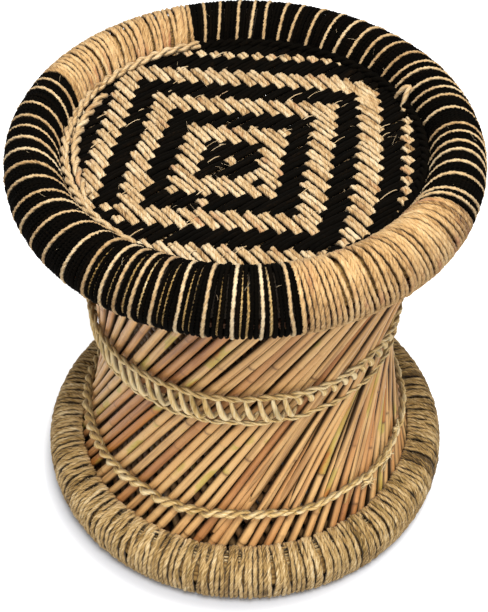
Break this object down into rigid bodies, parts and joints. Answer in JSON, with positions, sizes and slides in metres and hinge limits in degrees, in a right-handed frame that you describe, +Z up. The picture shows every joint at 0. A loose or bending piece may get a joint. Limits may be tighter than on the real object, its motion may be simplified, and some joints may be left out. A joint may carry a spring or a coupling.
{
  "type": "mudda stool",
  "caption": "Round waisted reed stool with a cord-bound rim roll, a woven twill seat, twined waist bands and a rope-bound base ring.",
  "frame": {"origin": "centre of the stool's foot print, on the floor", "axes": "+Z up along the stool's axis, front at -Y, +X to the right seen from the front"},
  "size_m": [0.36, 0.36, 0.368],
  "materials": {
    "reed": "satin cane skin",
    "reed_inside": "dull shaded cane",
    "cane": "satin cane",
    "grass": "matt dry grass",
    "jute": "matt twisted jute",
    "black_cord": "matt fuzzy cord",
    "straw_rope": "matt twisted grass rope",
    "seat_cord": "matt two-colour weave"
  },
  "bodies": {
    "root": {"rim_padding_bundle": "grass", "rim_outer_hoop": "cane", "rim_inner_hoop": "cane", "rim_jute_wrap_front": "jute", "rim_jute_wrap_back": "jute", "rim_black_wrap_front": "black_cord", "rim_black_wrap_back": "black_cord", "rim_stripe_cord_front": "jute", "rim_stripe_cord_back": "jute", "base_outer_bundle": "grass", "base_inner_hoop": "cane", "base_rope_wrap_front": "straw_rope", "base_rope_wrap_back": "straw_rope", "outer_reeds_01": "reed", "outer_reeds_02": "reed", "outer_reeds_03": "reed", "outer_reeds_04": "reed", "outer_reeds_05": "reed", "outer_reeds_06": "reed", "outer_reeds_07": "reed", "outer_reeds_08": "reed", "outer_reeds_09": "reed", "outer_reeds_10": "reed", "outer_reeds_11": "reed", "outer_reeds_12": "reed", "outer_reeds_13": "reed", "inner_reeds_01": "reed_inside", "inner_reeds_02": "reed_inside", "inner_reeds_03": "reed_inside", "inner_reeds_04": "reed_inside", "inner_reeds_05": "reed_inside", "inner_reeds_06": "reed_inside", "inner_reeds_07": "reed_inside", "inner_reeds_08": "reed_inside", "inner_reeds_09": "reed_inside", "inner_reeds_10": "reed_inside", "inner_reeds_11": "reed_inside", "inner_reeds_12": "reed_inside", "upper_waist_twine_outside": "straw_rope", "upper_waist_twine_inside": "straw_rope", "lower_waist_twine_outside": "straw_rope", "lower_waist_twine_inside": "straw_rope", "foot_twine_outside": "straw_rope", "foot_twine_inside": "straw_rope", "waist_lacing": "straw_rope", "seat_weave": "seat_cord", "seat_border_braid": "jute"}
  },
  "joints": []
}
